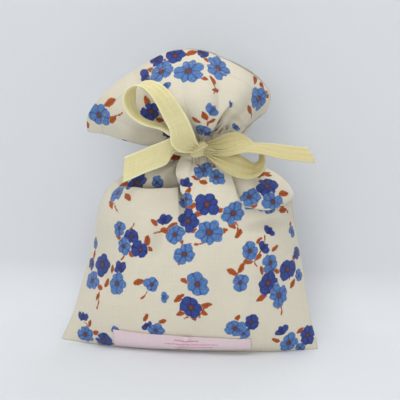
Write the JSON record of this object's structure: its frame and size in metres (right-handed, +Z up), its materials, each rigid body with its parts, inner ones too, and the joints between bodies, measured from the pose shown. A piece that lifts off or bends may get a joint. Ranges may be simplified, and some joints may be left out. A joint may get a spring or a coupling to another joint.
{
  "type": "filled drawstring pouch",
  "caption": "Small filled cotton pouch that stands on its base, gathered at the neck and tied with a ribbon bow under an open frill.",
  "frame": {"origin": "on the floor, at the middle of the flat base that the pouch stands on", "axes": "+Z up from the base to the frill, +X to the right along the base's long side, -Y out of the front, where the bow and the label are"},
  "size_m": [0.11, 0.0462, 0.1243],
  "materials": {
    "printed_cotton": "plain woven cotton with a small floral print",
    "cream_ribbon": "soft satin",
    "pink_satin": "satin"
  },
  "bodies": {
    "root": {"pouch": "printed_cotton", "ribbon": "cream_ribbon", "label": "pink_satin"}
  },
  "joints": []
}
